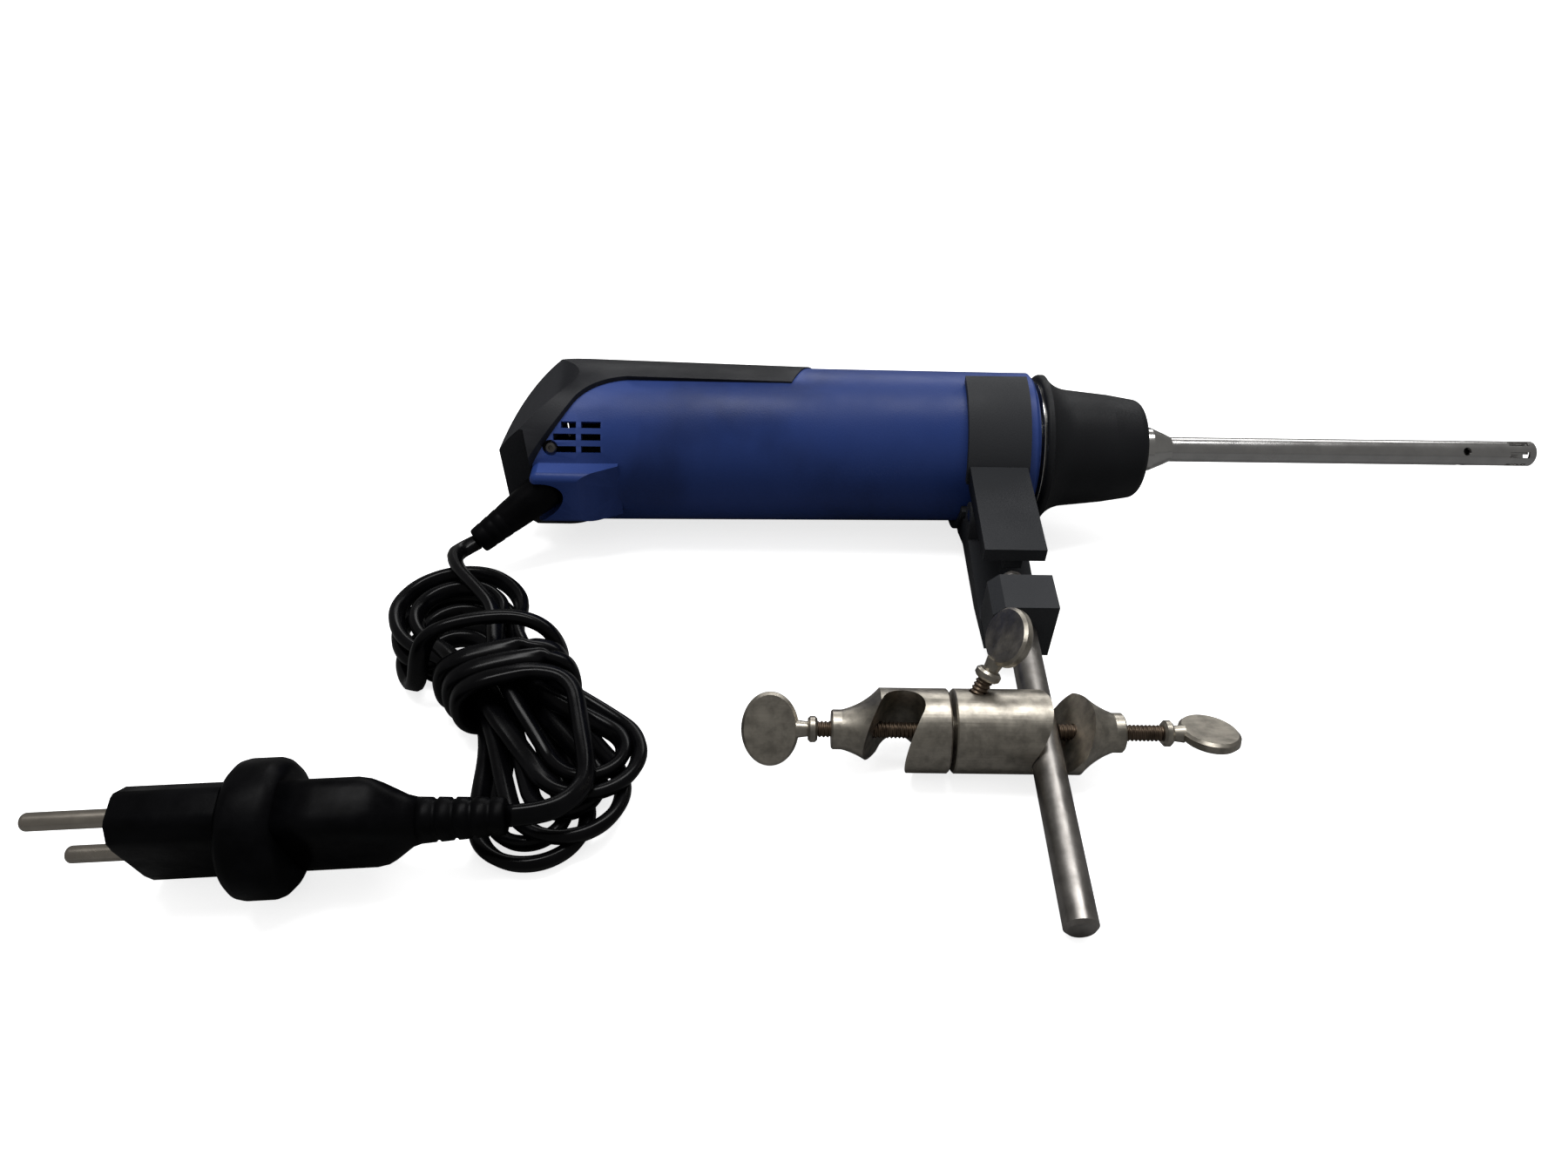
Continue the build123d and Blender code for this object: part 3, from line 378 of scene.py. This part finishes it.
def wrap_points():
    """Turns wound round the waist; the first one is loose and stands up."""
    points = []
    for step in range(1, round(WRAP_TURNS * WRAP_POINTS) + 1):
        turns = step / WRAP_POINTS
        angle = math.pi / 2 + 2 * math.pi * turns
        loose = max(0.0, 1.0 - turns / LOOSE_TURNS)
        high = max(0.0, -math.cos(angle))
        lateral = (WRAP_HALF + LOOSE_WIDE * loose) * squared(math.sin(angle), WRAP_SQUARE)
        drop = WRAP_HALF_Z * squared(math.cos(angle), WRAP_SQUARE)
        z = WRAP_MIDDLE_Z - drop + LOOSE_RISE * loose * high
        axial = WRAP_START + WRAP_PITCH * turns - WRAP_SLANT * lateral - LOOSE_BACK * loose * high
        points.append(hank_point(axial, lateral, z))
    return points


cord_points = TAIL + [hank_point(*HANK_IN)]
entry_z = ENTRY_Z
for loop, following in zip(LOOPS, LOOPS[1:] + LOOPS[-1:]):
    cord_points += loop_points(loop, entry_z, following[0], following[1])
    entry_z = following[1]
# the last loop's end makes way for the wrap's own entry
cord_points = cord_points[:-2] + [hank_point(*WRAP_IN)]
cord_points += wrap_points()
cord_points += [hank_point(*point) for point in WRAP_OUT] + PLUG_END
cord_start = device(*RELIEF_END)


def spline_line(name, points):
    """Points along the NURBS line through these control points."""
    curve = bpy.data.curves.new(name, "CURVE")
    curve.dimensions = "3D"
    curve.resolution_u = 8
    spline = curve.splines.new("NURBS")
    spline.points.add(len(points) - 1)
    for control, point in zip(spline.points, points):
        control.co = (*point, 1.0)
    spline.order_u = 3
    spline.use_endpoint_u = True
    holder = bpy.data.objects.new(name, curve)
    line = bpy.data.meshes.new_from_object(holder)
    found = [v.co.copy() for v in line.vertices]
    bpy.data.objects.remove(holder)
    bpy.data.meshes.remove(line)
    return found


TWIST_KEEP = 0.92    # how much of the last thin direction carries on
TWIST_BEND = 0.7     # how strongly a bend turns it
TWIST_UP = 0.035     # how strongly it turns upwards
TWIST_SMOOTHING = 30


def flat_frames(line):
    """Wide and thin directions at each point: a flat cord bends about its wide side."""
    count = len(line)
    beside = [(max(i - 1, 0), min(i + 1, count - 1)) for i in range(count)]
    tangents = [(line[after] - line[before]).normalized() for before, after in beside]
    bends = [tangents[after] - tangents[before] for before, after in beside]
    thin, last = [], Vector((0, 0, 1))
    for bend in bends:
        if bend.dot(last) < 0:
            bend = -bend
        last = (last * TWIST_KEEP + bend * TWIST_BEND + Vector((0, 0, TWIST_UP))).normalized()
        thin.append(last)
    for _ in range(TWIST_SMOOTHING):
        thin = [(thin[before] + middle + thin[after]).normalized()
                for (before, after), middle in zip(beside, thin)]
    frames = []
    for tangent, normal in zip(tangents, thin):
        normal = (normal - tangent * normal.dot(tangent)).normalized()
        frames.append((tangent.cross(normal), normal))
    return frames


def flat_section():
    """Outline of the two-core cord: two round cores with a shallow web between them."""
    outline = []
    for side in (1, -1):
        for step in range(7):
            angle = math.radians(-105 + 35 * step) if side > 0 else math.radians(75 + 35 * step)
            x = side * (CORD_W - CORD_T) / 2 + CORD_T / 2 * math.cos(angle)
            outline.append((x * MM, CORD_T / 2 * math.sin(angle) * MM))
    return outline


def build_cord():
    """The whole cord as one skin along its line."""
    line = spline_line("cord_line", [cord_start] + [table(*point) for point in cord_points])
    section = flat_section()
    verts, faces, n = [], [], len(section)
    for centre, (wide, thin) in zip(line, flat_frames(line)):
        verts += [centre + wide * x + thin * y for x, y in section]
    for ring in range(len(line) - 1):
        for k in range(n):
            a, b = ring * n + k, ring * n + (k + 1) % n
            faces.append((a, b, b + n, a + n))
    faces.append(tuple(range(n))[::-1])
    faces.append(tuple(range((len(line) - 1) * n, len(line) * n)))
    cord = new_piece("mains_cord", verts, faces, "black_vinyl", "housing", "black_rubber")
    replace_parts(cord, "cord_tail", "cord_hank", "cord_end")


# ---- lofted skins: the boot, the plug's neck, its body and the adapter ----
AROUND = 56
PLUG_FROM = (-180.0, -148.6, 15.6)
PLUG_TO = (-278.5, -156.7, 15.6)
PLUG_LEAN = math.radians(-18.0)
NECK_LENGTH = 19.0
NECK_RIB_X = 2.6
NECK_RIB_PITCH = 3.9
FLANGE_X = 46.0
ADAPTER_X = 58.0
NOSE_X = 80.0
FLANGE_R = 15.4
NOSE_CREASE = 38


def squircle(half_y, half_z, corner):
    """Ring of (side, up) points: corner 2 is an ellipse, larger is boxier."""
    ring = []
    for step in range(AROUND):
        angle = 2 * math.pi * step / AROUND
        ring.append((half_y * squared(math.cos(angle), 2 / corner),
                     half_z * squared(math.sin(angle), 2 / corner)))
    return ring


NOSE_HALF_Y = 7.0
NOSE_HALF_Z = 14.0
NOSE_FLAT_Y = 3.5
NOSE_FLAT_Z = 10.0
NOSE_EASE = 0.12    # share of each side taken by the eased corner at either end


def nose_ring(inset):
    """Flat outline of the adapter's nose with cut and eased corners."""
    corners = [(NOSE_HALF_Y, -NOSE_FLAT_Z), (NOSE_HALF_Y, NOSE_FLAT_Z),
               (NOSE_FLAT_Y, NOSE_HALF_Z), (-NOSE_FLAT_Y, NOSE_HALF_Z),
               (-NOSE_HALF_Y, NOSE_FLAT_Z), (-NOSE_HALF_Y, -NOSE_FLAT_Z),
               (-NOSE_FLAT_Y, -NOSE_HALF_Z), (NOSE_FLAT_Y, -NOSE_HALF_Z)]
    per_side = AROUND // len(corners)
    ring = []
    for (y, z), (next_y, next_z) in zip(corners, corners[1:] + corners[:1]):
        for step in range(per_side):
            share = NOSE_EASE + (1 - 2 * NOSE_EASE) * step / (per_side - 1)
            ring.append((y + (next_y - y) * share, z + (next_z - z) * share))
    return [(y * (1 - inset / NOSE_HALF_Y), z * (1 - inset / NOSE_HALF_Z)) for y, z in ring]


def lofted(origin, axis, up, sections):
    """Vertices and faces of a closed skin through (distance in millimetres, ring) sections."""
    side = up.cross(axis)
    verts, faces = [], []
    for distance, ring in sections:
        centre = origin + axis * (distance * MM)
        verts += [centre + side * (y * MM) + up * (z * MM) for y, z in ring]
    for row in range(len(sections) - 1):
        for k in range(AROUND):
            a, b = row * AROUND + k, row * AROUND + (k + 1) % AROUND
            faces.append((a, b, b + AROUND, a + AROUND))
    faces.append(tuple(range(AROUND))[::-1])
    last = (len(sections) - 1) * AROUND
    faces.append(tuple(range(last, last + AROUND)))
    return verts, faces


def joined(*skins):
    """Several skins as one mesh's vertices and faces."""
    verts, faces = [], []
    for some_verts, some_faces in skins:
        shift = len(verts)
        verts += some_verts
        faces += [tuple(index + shift for index in face) for face in some_faces]
    return verts, faces


def crease(obj, degrees):
    """Keeps the edges sharper than this angle crisp."""
    obj.data.set_sharp_from_angle(angle=math.radians(degrees))


BOOT_GROOVE_X = 14.6
BOOT_GROOVE_PITCH = 3.1
BOOT_GROOVE_DEPTH = 0.12


def build_boot():
    """Rubber boot: smooth cone with three shallow grooves near its end."""
    start, end = device(*RELIEF_START), device(*RELIEF_END)
    axis = (end - start).normalized()
    up = (Vector((0, 0, 1)) - axis * axis.z).normalized()
    length = (end - start).length / MM
    rings = [(-3.6, 5.8), (-0.5, 5.9), (3.0, 5.75), (8.0, 5.35), (13.0, 4.95)]
    for groove in range(3):
        x = BOOT_GROOVE_X + BOOT_GROOVE_PITCH * groove
        radius = 4.8 - 0.2 * groove
        rings += [(x, radius), (x + 0.35, radius - BOOT_GROOVE_DEPTH),
                  (x + 1.0, radius - BOOT_GROOVE_DEPTH - 0.02), (x + 1.35, radius - 0.05)]
    rings += [(length - 0.9, 4.15), (length - 0.25, 3.95), (length, 3.5)]
    skin = lofted(start, axis, up, [(x, squircle(radius, radius, 2)) for x, radius in rings])
    boot = new_piece("cord_boot", *skin, "black_plug", "housing", "black_rubber")
    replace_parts(boot, "strain_relief")
    return boot


def build_plug():
    """Neck with ribs, moulded body, and the adapter's flange and nose."""
    start = table(*PLUG_FROM)
    axis = (table(*PLUG_TO) - start).normalized()
    level = Vector((0, 0, 1))
    side = level.cross(axis)
    up = level * math.cos(PLUG_LEAN) - side * math.sin(PLUG_LEAN)

    neck_rings = [(0.0, 3.6, 3.9), (0.4, 4.0, 4.3)]
    for rib in range(4):
        x = NECK_RIB_X + NECK_RIB_PITCH * rib
        grow = x / NECK_LENGTH
        y, z = 4.0 + 0.7 * grow, 4.3 + 1.7 * grow
        neck_rings += [(x, y, z), (x + 0.3, y - 0.4, z - 0.45),
                       (x + 1.1, y - 0.4, z - 0.4), (x + 1.4, y, z + 0.1)]
    neck_rings += [(NECK_LENGTH, 4.7, 6.0)]
    neck_skin = lofted(start, axis, up, [(x, squircle(y, z, 2.5)) for x, y, z in neck_rings])
    neck = new_piece("plug_neck", *neck_skin, "black_plug", "housing", "black_rubber")
    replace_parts(neck, "plug_relief")

    body_rings = [(NECK_LENGTH - 0.2, 4.65, 6.0, 2.5), (21.0, 5.1, 7.0, 2.6), (23.0, 5.8, 8.9, 2.9),
                  (25.5, 6.5, 11.3, 3.4), (27.5, 6.85, 12.6, 4.0), (30.0, 7.0, 13.0, 4.6),
                  (38.0, 7.0, 13.0, 4.6), (FLANGE_X + 0.5, 7.0, 13.0, 4.6)]
    body_skin = lofted(start, axis, up, [(x, squircle(y, z, c)) for x, y, z, c in body_rings])
    body = new_piece("plug_shell", *body_skin, "black_plug", "housing", "black_plastic")
    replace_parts(body, "plug_body")

    flange_rings = [(FLANGE_X, 12.2), (FLANGE_X + 0.5, 13.6), (FLANGE_X + 2.0, 15.0),
                    (FLANGE_X + 3.2, FLANGE_R), (ADAPTER_X - 3.0, FLANGE_R),
                    (ADAPTER_X - 1.4, 15.0), (ADAPTER_X - 0.3, 13.9), (ADAPTER_X, 12.6)]
    flange = lofted(start, axis, up, [(x, squircle(r, r, 2)) for x, r in flange_rings])
    nose = lofted(start, axis, up, [(ADAPTER_X - 0.4, nose_ring(0)), (NOSE_X - 1.0, nose_ring(0)),
                                    (NOSE_X - 0.3, nose_ring(0.3)), (NOSE_X, nose_ring(0.9))])
    adapter = new_piece("plug_adapter_skin", *joined(flange, nose), "black_plug", "housing",
                        "black_plastic")
    crease(adapter, NOSE_CREASE)
    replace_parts(adapter, "plug_adapter")
    return [neck, body, adapter]


# ---- screw threads ----
THREAD_AROUND = 28
THREAD_ROWS = 8
THREAD_DEPTH = 0.34     # share of the pitch
SCREW_R = 2.1
SCREW_PITCH = 1.0
BOSS_Y = -116.6         # the boss head's axis
RIGHT_THREAD_X = (-49.4, -23.5)
LEFT_THREAD_X = (-109.7, -84.2)
LOCK_LEAN = math.radians(25.0)
LOCK_TURN = math.radians(60.0)
LOCK_ROOT_X = -74.94
LOCK_THREAD = (4.9, 15.3)
HOLDER_X = -53.5
STUD_END_Y = -82.5
STUD_CONE_Y = -61.3
STUD_TIP_Y = -59.5
STUD_R = 3.0
SCREW_HEAD_R = 1.8
SCREW_SEAT = (-190.5, 23.5, 33.0)   # x, radius from the axis, degrees round it
SCREW_CREASE = 35


def thread_skin(start, end, radius, pitch):
    """Screw thread: a skin whose radius follows a rounded ridge along a helix."""
    axis = (end - start).normalized()
    side = axis.orthogonal().normalized()
    other = axis.cross(side)
    length = (end - start).length / MM
    rows = int(length / pitch * THREAD_ROWS)
    root = radius - THREAD_DEPTH * pitch
    verts, faces = [], []
    for row in range(rows + 1):
        reach = length * row / rows
        for k in range(THREAD_AROUND):
            share = k / THREAD_AROUND
            ridge = abs(((reach / pitch - share) % 1.0) * 2 - 1)
            r = root + THREAD_DEPTH * pitch * min(1.0, max(0.0, ridge * 1.5 - 0.25))
            angle = 2 * math.pi * share
            out = side * math.cos(angle) + other * math.sin(angle)
            verts.append(start + axis * (reach * MM) + out * (r * MM))
    for row in range(rows):
        for k in range(THREAD_AROUND):
            a = row * THREAD_AROUND + k
            b = row * THREAD_AROUND + (k + 1) % THREAD_AROUND
            faces.append((a, b, b + THREAD_AROUND, a + THREAD_AROUND))
    faces.append(tuple(range(THREAD_AROUND))[::-1])
    faces.append(tuple(range(rows * THREAD_AROUND, (rows + 1) * THREAD_AROUND)))
    return verts, faces


def thread_piece(name, node, start, end):
    """A thumbscrew's thread, in place of the CAD stud on the body of the same name."""
    skin = thread_skin(start, end, SCREW_R, SCREW_PITCH)
    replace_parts(new_piece(name, *skin, "dark_thread", node, "dark_thread"), node)


def lock_point(distance):
    """Place on the lock screw's axis, measured outwards from the boss head's own axis."""
    across = distance * math.cos(LOCK_LEAN)
    return device(LOCK_ROOT_X + distance * math.sin(LOCK_LEAN),
                  BOSS_Y + across * math.cos(LOCK_TURN), across * math.sin(LOCK_TURN))


def build_rod_stud():
    """Threaded end of the rod, with its cone."""
    start, cone, tip = (device(HOLDER_X, y, 0) for y in (STUD_END_Y, STUD_CONE_Y, STUD_TIP_Y))
    thread = thread_skin(start, cone, STUD_R, SCREW_PITCH)
    axis = (tip - cone).normalized()
    up = axis.orthogonal().normalized()
    point = lofted(cone, axis, up, [(-0.3, squircle(2.6, 2.6, 2)), (0.2, squircle(2.6, 2.6, 2)),
                                    (1.8, squircle(1.2, 1.2, 2))])
    stud = new_piece("rod_screw_thread", *joined(thread, point), "rod_steel", "rod_stud", "rod_steel")
    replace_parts(stud, "rod_stud")


def build_cover_screws():
    """Small round heads, sunk in the dark notches beside the cover's edge."""
    x, radius, lean = SCREW_SEAT
    skins = []
    for side in (1, -1):
        angle = math.radians(side * lean)
        foot = device(x, -radius * math.cos(angle), radius * math.sin(angle))
        above = device(x, -(radius + 1) * math.cos(angle), (radius + 1) * math.sin(angle))
        axis = (above - foot).normalized()
        up = axis.orthogonal().normalized()
        rings = [(-5.0, 1.1), (0.0, 1.1), (0.02, SCREW_HEAD_R), (0.7, SCREW_HEAD_R),
                 (1.05, 1.45), (1.12, 0.7), (0.55, 0.62)]
        skins.append(lofted(foot, axis, up, [(d, squircle(r, r, 2)) for d, r in rings]))
    screws = new_piece("cover_screws", *joined(*skins), "screw_zinc", "housing", "polished_steel")
    crease(screws, SCREW_CREASE)
    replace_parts(screws, "housing_screws")


def build_threads():
    thread_piece("lock_screw_thread", "lock_stud", *(lock_point(reach) for reach in LOCK_THREAD))
    build_rod_stud()
    build_cover_screws()
    thread_piece("right_screw_thread", "right_stud", *(device(x, BOSS_Y, 0) for x in RIGHT_THREAD_X))
    thread_piece("left_screw_thread", "left_stud", *(device(x, BOSS_Y, 0) for x in LEFT_THREAD_X))


cord_boot = build_boot()
plug_pieces = build_plug()
build_threads()
build_cord()


# ---- light, floor and backdrop ----
WORLD_LIGHT = 0.42
WORLD_GLOSS = 0.16
FLOOR_GLOW = 0.74
FLOOR_HALF = 3.0
FLOOR_Z = -0.0002
FLOOR_WHITE = (0.92, 0.92, 0.92, 1.0)
FLOOR_DIM = (0.16, 0.16, 0.16, 1.0)


def by_ray(tree, camera_shader, glossy_shader, other_shader):
    """Picks a shader by the kind of ray: what the camera sees, what gloss reflects, what gives light."""
    path = tree.nodes.new("ShaderNodeLightPath")
    gloss = tree.nodes.new("ShaderNodeMixShader")
    tree.links.new(path.outputs["Is Glossy Ray"], gloss.inputs[0])
    tree.links.new(other_shader, gloss.inputs[1])
    tree.links.new(glossy_shader, gloss.inputs[2])
    seen = tree.nodes.new("ShaderNodeMixShader")
    tree.links.new(path.outputs["Is Camera Ray"], seen.inputs[0])
    tree.links.new(gloss.outputs[0], seen.inputs[1])
    tree.links.new(camera_shader, seen.inputs[2])
    return seen.outputs[0]


def emitter(tree, kind, colour, strength):
    node = tree.nodes.new(kind)
    node.inputs["Color"].default_value = (*colour, 1.0)
    node.inputs["Strength"].default_value = strength
    return node.outputs[0]


def studio_world():
    world = bpy.data.worlds.new("studio")
    bpy.context.scene.world = world
    world.use_nodes = True
    tree = world.node_tree
    white = emitter(tree, "ShaderNodeBackground", (1.0, 1.0, 1.0), 1.0)
    gloss = emitter(tree, "ShaderNodeBackground", (1.0, 0.99, 0.97), WORLD_GLOSS)
    light = emitter(tree, "ShaderNodeBackground", (1.0, 1.0, 1.0), WORLD_LIGHT)
    tree.links.new(by_ray(tree, white, gloss, light), tree.nodes["World Output"].inputs["Surface"])


studio_world()


def area_light(name, at, towards, size, power):
    data = bpy.data.lights.new(name, "AREA")
    data.shape = "RECTANGLE"
    data.size, data.size_y = size
    data.energy = power
    lamp = bpy.data.objects.new(name, data)
    lamp.location = at
    lamp.rotation_euler = (Vector(towards) - Vector(at)).to_track_quat("-Z", "Y").to_euler()
    bpy.context.scene.collection.objects.link(lamp)


area_light("key", (-0.05, 0.12, 0.95), (0, 0, 0), (0.95, 0.22), 6.5)
area_light("back", (0.1, 0.75, 0.45), (0, 0, 0), (1.0, 0.25), 2.2)

floor_mesh = bpy.data.meshes.new("floor")
corners = [(-FLOOR_HALF, -FLOOR_HALF), (FLOOR_HALF, -FLOOR_HALF),
           (FLOOR_HALF, FLOOR_HALF), (-FLOOR_HALF, FLOOR_HALF)]
floor_mesh.from_pydata([(x, y, FLOOR_Z) for x, y in corners], [], [(0, 1, 2, 3)])
floor = bpy.data.objects.new("floor", floor_mesh)
bpy.context.scene.collection.objects.link(floor)
floor_material = bpy.data.materials.new("floor_white")
floor_material.use_nodes = True
floor_tree = floor_material.node_tree
floor_shader = floor_tree.nodes["Principled BSDF"]
floor_shader.inputs["Base Color"].default_value = FLOOR_WHITE
floor_shader.inputs["Roughness"].default_value = 0.9
floor_shader.inputs["Specular IOR Level"].default_value = 0.0
floor_seen = floor_tree.nodes.new("ShaderNodeAddShader")
floor_tree.links.new(floor_shader.outputs[0], floor_seen.inputs[0])
floor_glow = emitter(floor_tree, "ShaderNodeEmission", (1.0, 1.0, 1.0), FLOOR_GLOW)
floor_tree.links.new(floor_glow, floor_seen.inputs[1])
floor_dim = floor_tree.nodes.new("ShaderNodeBsdfDiffuse")
floor_dim.inputs["Color"].default_value = FLOOR_DIM
floor_surface = by_ray(floor_tree, floor_seen.outputs[0], floor_dim.outputs[0], floor_dim.outputs[0])
floor_tree.links.new(floor_surface, floor_tree.nodes["Material Output"].inputs["Surface"])
floor_mesh.materials.append(floor_material)
